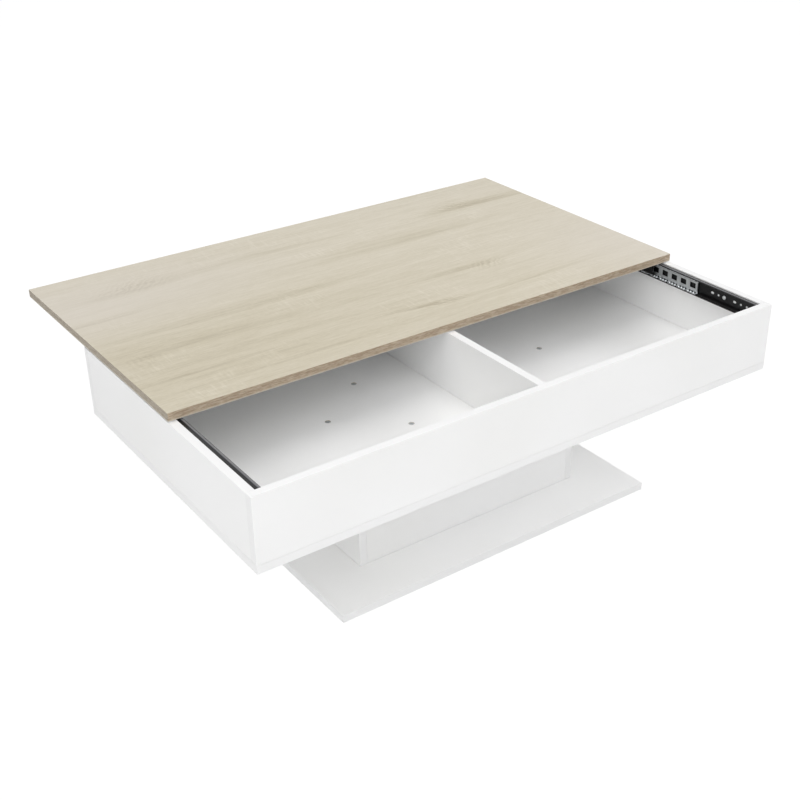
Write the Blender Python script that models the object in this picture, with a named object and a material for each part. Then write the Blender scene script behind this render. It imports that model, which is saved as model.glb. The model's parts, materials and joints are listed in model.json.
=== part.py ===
"""Coffee table whose oak top slides back over a white storage box on a plinth.

Metres, +Z up, +X along the table, +Y towards the side the top opens to.
The origin is the centre of the base board's underside, on the floor.
The top stands at its open stop, as it does when the box is in use.
"""

from math import cos, pi, radians, sin

import bmesh
import bpy
from mathutils import Matrix, Vector

MM = 0.001

# Boards
BOARD = 15 * MM
SEAM = 0.3 * MM
EDGE_ROUND = 0.8 * MM
TABLE_LENGTH = 1100 * MM
TABLE_HEIGHT = 400 * MM
WALL_HEIGHT = 119 * MM
TOP_GAP = 2 * MM
PLINTH_LENGTH = 500 * MM
PLINTH_DEPTH = 200 * MM
BASE_LENGTH = 700 * MM
BASE_DEPTH = 400 * MM

# Motion of the top
TRAVEL = 263 * MM
CAGE_RATIO = 0.5

# Ball slides
STEEL = 1.2 * MM
SLIDE_LENGTH = 550 * MM
SLIDE_HEIGHT = 35 * MM
SLIDE_WIDTH = 12.7 * MM
SLIDE_FRONT_GAP = 0.5 * MM
SLIDE_REAR_GAP = 19.5 * MM
STOP_GAP = 0.5 * MM
STOP_WIDTH = 10 * MM
BALL = 5 * MM
RACE_GAP = 0.25 * MM
BALL_FROM_WALL = 8.4 * MM
LIP_LENGTH = 0.3 * MM
FLANGE_BEND = 1.6 * MM
RACE_SHOULDER = 1.3 * MM
OUTER_RACE_FROM = 30
OUTER_RACE_TO = 145
INNER_RACE_FROM = -55
INNER_RACE_TO = -125
INNER_LIP = 0.7 * MM

# Ball cages
CAGE_STEEL = 0.6 * MM
CAGE_FROM_WALL = 4.0 * MM
CAGE_BEND = 0.8 * MM
CAGE_FLANGE_PAST_BALL = 2.3 * MM
CAGE_CLOSED_SETBACK = 18.3 * MM
CAGE_WINDOWS = 9
WINDOW_PITCH = 25 * MM
WINDOW_LENGTH = 14.5 * MM
WINDOW_HEIGHT = 11 * MM
CAGE_END = 6.5 * MM
BALLS_PER_WINDOW = 3
BALL_PITCH = 7.2 * MM
NOTCH_WIDTH = 4.2 * MM
NOTCH_DEPTH = 3.6 * MM

# Holes in the webs of the outer slide members
HOLE_FRONT = 28.5 * MM
HOLE_GROUP_PITCH = 56 * MM
HOLE_MIDDLE = 300 * MM
SMALL_HOLE_STEP = 14.5 * MM
SLOT_STEP = 30 * MM
ROUND_HOLE = 4.6 * MM
SMALL_HOLE = 4.4 * MM
SLOT_WIDTH = 4.8 * MM
SLOT_LENGTH = 7.4 * MM

# Battens under the top
BATTEN_HEIGHT = 34 * MM
BATTEN_SETBACK = 58 * MM
BATTEN_REAR_GAP = 6 * MM
BATTEN_SCREW_INSET = 30 * MM
SIDE_SCREW_STEP = 30 * MM

# Fasteners
BORE_GAP = 0.2 * MM
HEAD_SUNK = 0.3 * MM
CONNECTOR_LENGTH = 50 * MM
CONNECTOR_HEAD = 10 * MM
CONNECTOR_HEAD_DEPTH = 3.5 * MM
CONNECTOR_NECK = 7 * MM
CONNECTOR_CORE = 5 * MM
CONNECTOR_SOCKET = 4 * MM
CONNECTOR_SOCKET_DEPTH = 2.5 * MM
PAN_HEAD = 8.4 * MM
PAN_HEAD_HEIGHT = 1.6 * MM
PAN_SHANK = 3.5 * MM
PAN_LENGTH = 12.5 * MM
PAN_CROWN = 5.8 * MM
PAN_RECESS = 3 * MM
BATTEN_SCREW_LENGTH = 38 * MM
BATTEN_SCREW_SHANK = 4 * MM
BATTEN_SCREW_HEAD = 8 * MM
BATTEN_SCREW_SUNK = 6 * MM
DOWEL = 8 * MM
DOWEL_LENGTH = 30 * MM
DOWEL_IN_PANEL = 10 * MM
PLINTH_SCREW_INSET = 121.5 * MM
WALL_SCREW_INSET = 150 * MM
DIVIDER_SCREW_INSET = 120 * MM
FASTENER_SIDES = 8
BALL_SIDES = 6
BALL_RINGS = 4
BEND_STEPS = 3
RACE_STEPS = 5

# Levels and faces that follow from the sizes above
BOX_UNDERSIDE = TABLE_HEIGHT - BOARD - TOP_GAP - WALL_HEIGHT - BOARD
BOX_FLOOR = BOX_UNDERSIDE + BOARD
RIM = BOX_FLOOR + WALL_HEIGHT
TOP_UNDERSIDE = RIM + TOP_GAP
TABLE_DEPTH = SLIDE_LENGTH + SLIDE_FRONT_GAP + SLIDE_REAR_GAP + 2 * BOARD
HALF_LENGTH = TABLE_LENGTH / 2
HALF_DEPTH = TABLE_DEPTH / 2
SIDE_FACE = HALF_LENGTH - BOARD
INSIDE_DEPTH = HALF_DEPTH - BOARD
SLIDE_LEVEL = RIM - SLIDE_HEIGHT / 2
SLIDE_FRONT = -INSIDE_DEPTH + SLIDE_FRONT_GAP
INNER_LENGTH = SLIDE_LENGTH - 2 * STEEL - 2 * STOP_GAP - TRAVEL
INNER_FRONT = SLIDE_FRONT + SLIDE_LENGTH - STEEL - STOP_GAP - INNER_LENGTH
BALL_LEVEL = SLIDE_HEIGHT / 2 - STEEL - RACE_GAP - BALL / 2
RACE_RADIUS = BALL / 2 + RACE_GAP + STEEL / 2
TOP_FRONT = -HALF_DEPTH + TRAVEL
BATTEN_FRONT = INNER_FRONT + BATTEN_SETBACK
BATTEN_LENGTH = INNER_LENGTH - BATTEN_SETBACK - BATTEN_REAR_GAP
BATTEN_FACE = SIDE_FACE - SLIDE_WIDTH - SEAM
SIDES = {"left": -1, "right": 1}

UP = Vector((0, 0, 1))
DOWN = Vector((0, 0, -1))
BACK = Vector((0, 1, 0))


def finish(name, colour, roughness, metallic=0.0):
    """One plain finish: base colour, roughness and whether it is metal."""
    material = bpy.data.materials.new(name)
    material.use_nodes = True
    shader = material.node_tree.nodes["Principled BSDF"]
    shader.inputs["Base Color"].default_value = (*colour, 1.0)
    shader.inputs["Roughness"].default_value = roughness
    shader.inputs["Metallic"].default_value = metallic
    material.diffuse_color = (*colour, 1.0)
    return material


def clear_scene():
    for item in list(bpy.data.objects):
        bpy.data.objects.remove(item, do_unlink=True)


def mesh_from(bm, name, smooth=False):
    """Turn a bmesh into a mesh whose faces all point outwards."""
    bmesh.ops.recalc_face_normals(bm, faces=bm.faces[:])
    mesh = bpy.data.meshes.new(name)
    bm.to_mesh(mesh)
    bm.free()
    if smooth:
        mesh.shade_smooth()
        mesh.set_sharp_from_angle(angle=radians(40))
    return mesh


def add_piece(name, mesh, material, location=(0, 0, 0), carrier=None):
    """Add one named piece, held by its carrier where it has one."""
    piece = bpy.data.objects.new(name, mesh)
    bpy.context.collection.objects.link(piece)
    piece.location = location
    if material and not mesh.materials:
        mesh.materials.append(material)
    if carrier:
        piece.parent = carrier
        piece.matrix_parent_inverse = Matrix.Translation(carrier.location).inverted()
    return piece


def add_tool(name, bm, target, operation):
    """Cut a tool body out of a piece, or join it on."""
    tool = add_piece(name, mesh_from(bm, name), None, carrier=target.parent)
    tool.hide_render = True
    tool.display_type = "WIRE"
    modifier = target.modifiers.new(name, "BOOLEAN")
    modifier.operation = operation
    modifier.solver = "EXACT"
    modifier.object = tool


def box_into(bm, low, high):
    """Add a box between two corners to a bmesh."""
    low = Vector(low)
    size = Vector(high) - low
    place = Matrix.Translation(low + size / 2) @ Matrix.Diagonal((*size, 1.0))
    bmesh.ops.create_cube(bm, size=1.0, matrix=place)


def cut_box(bm, middle, size):
    """Add a box of a given size round its middle to a bmesh."""
    half = Vector(size) / 2
    box_into(bm, Vector(middle) - half, Vector(middle) + half)


def board(name, low, high, material, carrier=None):
    """One board between two corners, with its edges softened."""
    middle = (Vector(low) + Vector(high)) / 2
    half = (Vector(high) - Vector(low)) / 2
    bm = bmesh.new()
    box_into(bm, -half, half)
    piece = add_piece(name, mesh_from(bm, name), material, middle, carrier)
    bevel = piece.modifiers.new("softened edges", "BEVEL")
    bevel.width = EDGE_ROUND
    bevel.segments = 1
    bevel.limit_method = "NONE"
    return piece


def turned_into(bm, profile, place=(0, 0, 0), axis=UP):
    """Spin a profile of (radius, height) points and stand it at place along axis."""
    points = [bm.verts.new((radius, 0, height)) for radius, height in profile]
    edges = [bm.edges.new(pair) for pair in zip(points, points[1:])]
    before = set(bm.verts) - set(points)
    bmesh.ops.spin(bm, geom=points + edges, cent=(0, 0, 0), axis=UP, angle=2 * pi,
                   steps=FASTENER_SIDES, use_merge=True)
    open_ends = [edge for edge in bm.edges if edge.is_boundary]
    bmesh.ops.holes_fill(bm, edges=open_ends, sides=0)
    turn = UP.rotation_difference(axis).to_matrix().to_4x4()
    made = [vert for vert in bm.verts if vert not in before]
    bmesh.ops.transform(bm, matrix=Matrix.Translation(place) @ turn, verts=made)


def bored(target, name, holes):
    """Bore a list of (profile, place, axis) holes into a board."""
    bm = bmesh.new()
    for profile, place, axis in holes:
        turned_into(bm, profile, place, axis)
    add_tool(name, bm, target, "DIFFERENCE")


def connector_profile(gap=0.0):
    """Sunk connector screw from its tip up to its head at height 0, with its bore as gap grows."""
    core = CONNECTOR_CORE / 2 + gap
    neck = CONNECTOR_NECK / 2 + gap
    head = CONNECTOR_HEAD / 2 + gap
    points = [(core, -CONNECTOR_LENGTH - gap), (neck, -CONNECTOR_HEAD_DEPTH), (head, 0.0)]
    if gap:
        return points + [(head, BOARD)]
    socket = CONNECTOR_SOCKET / 2
    return points + [(socket, 0.0), (socket, -CONNECTOR_SOCKET_DEPTH)]


def pan_profile():
    """Tapered pan head screw, with the seat of its head at height 0."""
    shank = PAN_SHANK / 2
    head = PAN_HEAD / 2
    crown = PAN_CROWN / 2
    recess = PAN_RECESS / 2
    points = [(shank / 3, -PAN_LENGTH), (shank, 0.0), (head, 0.0)]
    points += [(crown, PAN_HEAD_HEIGHT), (recess, PAN_HEAD_HEIGHT)]
    return points + [(recess / 4, PAN_HEAD_HEIGHT / 3)]


def batten_screw_profile(gap=0.0):
    """Countersunk screw through a batten, with the top of its head at height 0."""
    shank = BATTEN_SCREW_SHANK / 2 + gap
    head = BATTEN_SCREW_HEAD / 2 + gap
    slope = (BATTEN_SCREW_HEAD - BATTEN_SCREW_SHANK) / 2
    points = [(shank, -BATTEN_SCREW_LENGTH - gap), (shank, -slope), (head, 0.0)]
    if gap:
        return points + [(head, BATTEN_HEIGHT)]
    return points + [(shank / 2, 0.0), (shank / 3, -slope)]


def straight_profile(radius, low, high):
    return [(radius, low), (radius, high)]


def dowel_profile():
    radius = DOWEL / 2
    blunt = radius / 4
    end = DOWEL_LENGTH - blunt
    return [(radius - blunt, 0.0), (radius, blunt), (radius, end), (radius - blunt, DOWEL_LENGTH)]


def arc(centre, radius, start, end, steps):
    """Points along an arc, with its angles in degrees."""
    turns = [radians(start + (end - start) * step / steps) for step in range(steps + 1)]
    return [(centre[0] + radius * cos(turn), centre[1] + radius * sin(turn)) for turn in turns]


def outer_half_path():
    """Middle of the outer member's steel, from its lip round the race to its web."""
    ball = (BALL_FROM_WALL, BALL_LEVEL)
    race = arc(ball, RACE_RADIUS, OUTER_RACE_FROM, OUTER_RACE_TO, RACE_STEPS)
    lip_turn = radians(OUTER_RACE_FROM)
    lip = (race[0][0] + LIP_LENGTH * sin(lip_turn), race[0][1] - LIP_LENGTH * cos(lip_turn))
    web = SEAM + STEEL / 2
    shoulder = SLIDE_HEIGHT / 2 - STEEL / 2 - RACE_SHOULDER
    bend = arc((web + FLANGE_BEND, shoulder - FLANGE_BEND), FLANGE_BEND, 90, 180, BEND_STEPS)
    return [lip] + race + bend


def inner_half_path():
    """Middle of the inner member's steel, from its lip under the ball to its web."""
    ball = (BALL_FROM_WALL, BALL_LEVEL)
    race = arc(ball, RACE_RADIUS, INNER_RACE_TO, INNER_RACE_FROM, RACE_STEPS)
    lip = (race[0][0] - INNER_LIP, race[0][1])
    web = SLIDE_WIDTH - STEEL / 2
    bend_centre = (web - FLANGE_BEND, race[-1][1] - FLANGE_BEND)
    return [lip] + race + arc(bend_centre, FLANGE_BEND, 90, 0, BEND_STEPS)


def cage_half_path():
    """Middle of the cage's strip, from the edge past the balls to its web."""
    edge = (BALL_FROM_WALL + CAGE_FLANGE_PAST_BALL, BALL_LEVEL)
    bend_centre = (CAGE_FROM_WALL + CAGE_BEND, BALL_LEVEL - CAGE_BEND)
    return [edge] + arc(bend_centre, CAGE_BEND, 90, 180, BEND_STEPS)


def rolled_strip(name, half_path, thickness, length, side, front, material, carrier=None):
    """Roll a steel strip along the slide: half its section is given and the rest mirrors it."""
    lower = [(out, -level) for out, level in reversed(half_path)]
    bm = bmesh.new()
    points = [bm.verts.new((-side * out, 0, level)) for out, level in half_path + lower]
    edges = [bm.edges.new(pair) for pair in zip(points, points[1:])]
    rolled = bmesh.ops.extrude_edge_only(bm, edges=edges)
    far_end = [item for item in rolled["geom"] if isinstance(item, bmesh.types.BMVert)]
    bmesh.ops.translate(bm, vec=BACK * length, verts=far_end)
    mesh = mesh_from(bm, name, smooth=True)
    piece = add_piece(name, mesh, material, (side * SIDE_FACE, front, SLIDE_LEVEL), carrier)
    wall = piece.modifiers.new("steel", "SOLIDIFY")
    wall.thickness = thickness
    wall.offset = 0.0
    wall.use_even_offset = True
    wall.use_quality_normals = True
    return piece


def slot_into(bm, place, axis, width, length, depth):
    """Add a round-ended slot tool that is long in Y; a round hole is a slot of equal length."""
    turn = UP.rotation_difference(axis).to_matrix().to_4x4()
    half_step = Matrix.Rotation(pi / FASTENER_SIDES, 4, "Z")
    made = bmesh.ops.create_cone(bm, cap_ends=True, segments=FASTENER_SIDES, radius1=width / 2,
                                 radius2=width / 2, depth=depth, matrix=turn @ half_step)
    for vert in made["verts"]:
        vert.co.y += (length - width) / 2 if vert.co.y > 0 else (width - length) / 2
    bmesh.ops.translate(bm, vec=place, verts=made["verts"])


def hole_groups():
    """Y of the round hole of each group along an outer member, and which way the group runs."""
    front = SLIDE_FRONT + HOLE_FRONT
    rear = SLIDE_FRONT + SLIDE_LENGTH - HOLE_FRONT
    middle = SLIDE_FRONT + HOLE_MIDDLE
    return [(front, 1), (front + HOLE_GROUP_PITCH, 1), (middle, 1), (rear, -1)]


def slide_screw_stations():
    """Y of the screws that hold an outer member: one near each end and one in the middle."""
    return [station for station, _ in hole_groups()[1:]]


def batten_stations(inset):
    """Y of two screws along a batten, inset from its ends."""
    return [BATTEN_FRONT + inset, BATTEN_FRONT + BATTEN_LENGTH - inset]


def outer_member(word, side, material):
    """Outer slide member: rolled channel with a bent stop at each end and holes in its web."""
    piece = rolled_strip(f"{word}_slide_outer", outer_half_path(), STEEL, SLIDE_LENGTH, side,
                         SLIDE_FRONT, material)
    stops = bmesh.new()
    reach = SLIDE_WIDTH - STEEL / 2
    for low in (SLIDE_FRONT, SLIDE_FRONT + SLIDE_LENGTH - STEEL):
        near = side * (SIDE_FACE - SEAM - STEEL / 2)
        far = side * (SIDE_FACE - reach)
        corner = (min(near, far), low, SLIDE_LEVEL - STOP_WIDTH / 2)
        box_into(stops, corner, (max(near, far), low + STEEL, SLIDE_LEVEL + STOP_WIDTH / 2))
    add_tool(f"{word} slide stops", stops, piece, "UNION")
    holes = bmesh.new()
    web = side * (SIDE_FACE - SEAM - STEEL / 2)
    inward = Vector((-side, 0, 0))
    for station, run in hole_groups():
        steps = [(0.0, ROUND_HOLE, ROUND_HOLE), (SMALL_HOLE_STEP, SMALL_HOLE, SMALL_HOLE),
                 (SLOT_STEP, SLOT_WIDTH, SLOT_LENGTH)]
        for step, width, length in steps:
            place = Vector((web, station + run * step, SLIDE_LEVEL))
            slot_into(holes, place, inward, width, length, 2 * STEEL)
    add_tool(f"{word} web holes", holes, piece, "DIFFERENCE")


def inner_member(word, side, material, carriage):
    """Inner slide member, which moves with the top, bored for its two screws."""
    piece = rolled_strip(f"{word}_slide_inner", inner_half_path(), STEEL, INNER_LENGTH, side,
                         INNER_FRONT, material, carriage)
    holes = bmesh.new()
    web = side * (SIDE_FACE - SLIDE_WIDTH + STEEL / 2)
    for station in batten_stations(BATTEN_SCREW_INSET + SIDE_SCREW_STEP):
        place = Vector((web, station, SLIDE_LEVEL))
        slot_into(holes, place, Vector((-side, 0, 0)), ROUND_HOLE, ROUND_HOLE, 2 * STEEL)
    add_tool(f"{word} inner holes", holes, piece, "DIFFERENCE")


def ball_cage(word, side, material):
    """Ball cage: a strip with square windows, and balls held along both edges, in a group at each window."""
    length = 2 * CAGE_END + (CAGE_WINDOWS - 1) * WINDOW_PITCH + WINDOW_LENGTH
    front = SLIDE_FRONT + CAGE_CLOSED_SETBACK + CAGE_RATIO * TRAVEL
    piece = rolled_strip(f"{word}_ball_cage", cage_half_path(), CAGE_STEEL, length, side, front, material)
    cuts = bmesh.new()
    balls = bmesh.new()
    web = side * (SIDE_FACE - CAGE_FROM_WALL)
    row = side * (SIDE_FACE - BALL_FROM_WALL)
    edge = side * (SIDE_FACE - BALL_FROM_WALL - CAGE_FLANGE_PAST_BALL)
    for number in range(CAGE_WINDOWS):
        middle = front + CAGE_END + WINDOW_LENGTH / 2 + number * WINDOW_PITCH
        cut_box(cuts, (web, middle, SLIDE_LEVEL), (2 * CAGE_STEEL, WINDOW_LENGTH, WINDOW_HEIGHT))
        for level in (SLIDE_LEVEL + BALL_LEVEL, SLIDE_LEVEL - BALL_LEVEL):
            if number:
                bridge = middle - WINDOW_PITCH / 2
                cut_box(cuts, (edge, bridge, level), (2 * NOTCH_DEPTH, NOTCH_WIDTH, 2 * CAGE_STEEL))
            for ball in range(BALLS_PER_WINDOW):
                along = middle + (ball - (BALLS_PER_WINDOW - 1) / 2) * BALL_PITCH
                bmesh.ops.create_uvsphere(balls, u_segments=BALL_SIDES, v_segments=BALL_RINGS, radius=BALL / 2,
                                          matrix=Matrix.Translation((row, along, level)))
    add_tool(f"{word} cage cuts", cuts, piece, "DIFFERENCE")
    add_tool(f"{word} balls", balls, piece, "UNION")


def fastener(name, mesh, material, place, axis, carrier=None):
    """One screw or dowel that stands at place and points along axis."""
    piece = add_piece(name, mesh, material, place, carrier)
    piece.rotation_euler = UP.rotation_difference(axis).to_euler()


def turned_mesh(name, profile):
    bm = bmesh.new()
    turned_into(bm, profile)
    return mesh_from(bm, name, smooth=True)


def connect(panel, neighbours, mesh, name, level, axis):
    """Screw a panel to its neighbours' edges, at the (x, y) stations that each neighbour lists."""
    hole = connector_profile(BORE_GAP)
    every_hole = []
    for neighbour, stations in neighbours:
        holes = [(hole, Vector((x, y, level)), axis) for x, y in stations]
        bored(neighbour, f"{name} bores in {neighbour.name}", holes)
        every_hole += holes
    bored(panel, f"{name} bores in {panel.name}", every_hole)
    for number, (_, place, _) in enumerate(every_hole, 1):
        fastener(f"{name}_{number}", mesh, zinc, place, axis)


def build_plinth():
    """Base board and the four boards of the hollow plinth, ends outside the long boards."""
    base = board("base_board", (-BASE_LENGTH / 2, -BASE_DEPTH / 2, 0),
                 (BASE_LENGTH / 2, BASE_DEPTH / 2, BOARD), white)
    low = BOARD + SEAM
    high = BOX_UNDERSIDE - SEAM
    half_length = PLINTH_LENGTH / 2
    half_depth = PLINTH_DEPTH / 2
    boards = []
    for word, side in SIDES.items():
        outside = side * half_length
        inside = side * (half_length - BOARD)
        end = board(f"plinth_{word}", (min(outside, inside), -half_depth, low),
                    (max(outside, inside), half_depth, high), white)
        boards.append((end, [((outside + inside) / 2, 0)]))
    between = half_length - BOARD - SEAM
    spread = half_length - PLINTH_SCREW_INSET
    for word, side in (("front", -1), ("back", 1)):
        outside = side * half_depth
        inside = side * (half_depth - BOARD)
        long_board = board(f"plinth_{word}", (-between, min(outside, inside), low),
                           (between, max(outside, inside), high), white)
        middle = (outside + inside) / 2
        boards.append((long_board, [(-spread, middle), (spread, middle)]))
    return base, boards


def build_box():
    """Bottom panel, the walls that stand on it and the divider between them."""
    bottom = board("bottom_panel", (-HALF_LENGTH, -HALF_DEPTH, BOX_UNDERSIDE),
                   (HALF_LENGTH, HALF_DEPTH, BOX_FLOOR), white)
    low = BOX_FLOOR + SEAM
    inside = INSIDE_DEPTH - SEAM
    walls = {}
    spread = HALF_LENGTH - WALL_SCREW_INSET
    for word, side in (("front", -1), ("back", 1)):
        faces = sorted((side * HALF_DEPTH, side * INSIDE_DEPTH))
        wall = board(f"{word}_panel", (-HALF_LENGTH, faces[0], low), (HALF_LENGTH, faces[1], RIM), white)
        walls[wall] = [(-spread, sum(faces) / 2), (spread, sum(faces) / 2)]
    for word, side in SIDES.items():
        faces = sorted((side * HALF_LENGTH, side * SIDE_FACE))
        wall = board(f"{word}_side", (faces[0], -inside, low), (faces[1], inside, RIM), white)
        walls[wall] = [(sum(faces) / 2, 0)]
    divider = board("divider", (-BOARD / 2, -inside, low), (BOARD / 2, inside, RIM), white)
    spread = HALF_DEPTH - DIVIDER_SCREW_INSET
    walls[divider] = [(0, -spread), (0, spread)]
    return bottom, walls


def build_corner_dowels(walls):
    """A dowel at each upright corner, from the long wall into the end of the side."""
    mesh = turned_mesh("dowel", dowel_profile())
    hole = straight_profile(DOWEL / 2 + BORE_GAP, -BORE_GAP, DOWEL_LENGTH + BORE_GAP)
    by_name = {wall.name: wall for wall in walls}
    holes = {name: [] for name in by_name}
    number = 0
    for side_word, side in SIDES.items():
        for wall_word, end in (("front", -1), ("back", 1)):
            number += 1
            place = Vector((side * (HALF_LENGTH - BOARD / 2), end * (INSIDE_DEPTH + DOWEL_IN_PANEL),
                            BOX_FLOOR + WALL_HEIGHT / 2))
            fastener(f"corner_dowel_{number}", mesh, beech, place, -end * BACK)
            for name in (f"{side_word}_side", f"{wall_word}_panel"):
                holes[name].append((hole, place, -end * BACK))
    for name, bores in holes.items():
        if bores:
            bored(by_name[name], f"dowel bores in {name}", bores)
    return by_name


def build_carcass():
    """Everything that stands still apart from the slides."""
    base, plinth = build_plinth()
    bottom, walls = build_box()
    connector = turned_mesh("connector", connector_profile())
    connect(base, plinth, connector, "base_screw", HEAD_SUNK, DOWN)
    connect(bottom, plinth, connector, "plinth_screw", BOX_FLOOR - HEAD_SUNK, UP)
    connect(bottom, walls.items(), connector, "wall_screw", BOX_UNDERSIDE + HEAD_SUNK, DOWN)
    return build_corner_dowels(walls)


def build_top(carriage):
    """Sliding top, and the batten at each side that hangs it on the inner slide members."""
    top = board("table_top", (-HALF_LENGTH, TOP_FRONT, TOP_UNDERSIDE),
                (HALF_LENGTH, TOP_FRONT + TABLE_DEPTH, TOP_UNDERSIDE + BOARD), oak, carriage)
    low = TOP_UNDERSIDE - SEAM - BATTEN_HEIGHT
    upright = turned_mesh("batten screw", batten_screw_profile())
    pan = turned_mesh("inner screw", pan_profile())
    top_bores = []
    for word, side in SIDES.items():
        faces = sorted((side * BATTEN_FACE, side * (BATTEN_FACE - BOARD)))
        batten = board(f"{word}_batten", (faces[0], BATTEN_FRONT, low),
                       (faces[1], BATTEN_FRONT + BATTEN_LENGTH, low + BATTEN_HEIGHT), white, carriage)
        bores = []
        for number, station in enumerate(batten_stations(BATTEN_SCREW_INSET), 1):
            place = Vector((sum(faces) / 2, station, low + BATTEN_SCREW_SUNK))
            bores.append((batten_screw_profile(BORE_GAP), place, DOWN))
            fastener(f"{word}_batten_screw_{number}", upright, zinc, place, DOWN, carriage)
        top_bores += bores
        seat = side * (SIDE_FACE - SLIDE_WIDTH + STEEL + BORE_GAP)
        side_bore = straight_profile(PAN_SHANK / 2 + BORE_GAP, -PAN_LENGTH - BORE_GAP, 0.0)
        towards_wall = Vector((side, 0, 0))
        side_bores = []
        for number, station in enumerate(batten_stations(BATTEN_SCREW_INSET + SIDE_SCREW_STEP), 1):
            place = Vector((seat, station, SLIDE_LEVEL))
            side_bores.append((side_bore, place, towards_wall))
            fastener(f"{word}_inner_screw_{number}", pan, zinc, place, towards_wall, carriage)
        bored(batten, f"bores in {word} batten", bores + side_bores)
    bored(top, "bores in top", top_bores)


def build_slides(walls, carriage):
    """A ball slide on each side wall: outer member, cage and inner member, with its screws."""
    pan = turned_mesh("slide screw", pan_profile())
    bore = straight_profile(PAN_SHANK / 2 + BORE_GAP, -PAN_LENGTH - BORE_GAP, 0.0)
    for word, side in SIDES.items():
        outer_member(word, side, black_steel)
        ball_cage(word, side, zinc)
        inner_member(word, side, black_steel, carriage)
        seat = side * (SIDE_FACE - SEAM - STEEL - BORE_GAP)
        inward = Vector((-side, 0, 0))
        bores = []
        for number, station in enumerate(slide_screw_stations(), 1):
            place = Vector((seat, station, SLIDE_LEVEL))
            bores.append((bore, place, inward))
            fastener(f"{word}_slide_screw_{number}", pan, zinc, place, inward)
        bored(walls[f"{word}_side"], f"slide screw bores in {word} side", bores)


def top_carriage():
    """Empty that carries everything the top takes along, on the line the top slides on."""
    carriage = bpy.data.objects.new("top_carriage", None)
    bpy.context.collection.objects.link(carriage)
    carriage.location = (0, TRAVEL, SLIDE_LEVEL)
    return carriage


clear_scene()
white = finish("white melamine board", (0.83, 0.83, 0.83), 0.45)
oak = finish("pale oak decor board", (0.63, 0.58, 0.48), 0.5)
black_steel = finish("black coated steel", (0.015, 0.015, 0.016), 0.35, 0.6)
zinc = finish("zinc plated steel", (0.55, 0.55, 0.56), 0.35, 1.0)
beech = finish("beech", (0.62, 0.45, 0.28), 0.6)

carriage = top_carriage()
walls = build_carcass()
build_top(carriage)
build_slides(walls, carriage)
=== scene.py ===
# %% [markdown]
# This lesson dresses a coffee table whose oak top slides back over a white box.
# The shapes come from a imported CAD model, which is loaded first and never moved,
# so that every piece made here lands where the CAD says and moves with its body.

# %% Load the frame
import json
from math import pi, radians

import bmesh
import bpy
from mathutils import Matrix, Vector

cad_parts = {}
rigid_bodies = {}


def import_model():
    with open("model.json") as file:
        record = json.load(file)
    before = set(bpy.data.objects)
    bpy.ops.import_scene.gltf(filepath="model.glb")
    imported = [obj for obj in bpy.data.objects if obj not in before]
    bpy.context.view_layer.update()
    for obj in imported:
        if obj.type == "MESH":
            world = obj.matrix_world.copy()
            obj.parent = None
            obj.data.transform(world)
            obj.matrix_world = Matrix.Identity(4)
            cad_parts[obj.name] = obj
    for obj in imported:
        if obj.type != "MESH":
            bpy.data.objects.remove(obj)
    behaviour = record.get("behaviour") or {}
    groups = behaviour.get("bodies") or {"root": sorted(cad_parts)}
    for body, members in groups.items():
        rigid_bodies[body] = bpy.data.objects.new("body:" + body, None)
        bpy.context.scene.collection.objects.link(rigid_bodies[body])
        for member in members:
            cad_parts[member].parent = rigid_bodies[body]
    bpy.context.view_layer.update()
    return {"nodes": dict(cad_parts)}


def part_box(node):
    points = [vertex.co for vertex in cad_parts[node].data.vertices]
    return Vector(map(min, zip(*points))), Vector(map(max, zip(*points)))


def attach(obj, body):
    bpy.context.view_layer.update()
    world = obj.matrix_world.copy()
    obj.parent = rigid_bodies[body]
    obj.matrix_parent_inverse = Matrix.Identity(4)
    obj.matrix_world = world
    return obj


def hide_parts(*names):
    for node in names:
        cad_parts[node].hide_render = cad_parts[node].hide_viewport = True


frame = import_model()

MM = 0.001
scene = bpy.context.scene

# %% [markdown]
# The camera stands where the photographer's stood: in front of the left corner, looking down.
# It could be turned by eye, but straight edges of known length fix the place, the angles and
# the lens all at once. The small shift is there because the picture was cropped off centre.

# %% Camera
CAMERA_PLACE = (-1.1945, -1.6247, 1.3275)
CAMERA_TURN = (61.569, 0.274, -36.258)
LENS = 55.39
SENSOR = 36.0
SHIFT = (-0.0441, -0.0043)

lens_data = bpy.data.cameras.new("photo camera")
lens_data.lens = LENS
lens_data.sensor_width = SENSOR
lens_data.shift_x, lens_data.shift_y = SHIFT
camera = bpy.data.objects.new("photo camera", lens_data)
camera.location = CAMERA_PLACE
camera.rotation_euler = [radians(turn) for turn in CAMERA_TURN]
scene.collection.objects.link(camera)
scene.camera = camera
print("camera lens", LENS, "mm at", CAMERA_PLACE)

# %% [markdown]
# Colours are read off as sRGB hex values, the way a paint chart gives them, while shaders count
# in linear light. One function does the change. Another fills a node's inputs with plain values and
# links, and a third adds any shader node, so that each finish below reads from its texture to its
# surface.


# %% Colour and node helpers
def linear(hex_colour):
    """The linear colour of an sRGB hex value, with full alpha."""
    channels = [int(hex_colour[place:place + 2], 16) / 255 for place in (1, 3, 5)]
    light = [c / 12.92 if c <= 0.04045 else ((c + 0.055) / 1.055) ** 2.4 for c in channels]
    return (*light, 1.0)


def feed(tree, node, inputs):
    """Fill a node's inputs: sockets are linked, and plain values are set."""
    for key, value in inputs.items():
        if isinstance(value, bpy.types.NodeSocket):
            tree.links.new(value, node.inputs[key])
        else:
            node.inputs[key].default_value = value


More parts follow.
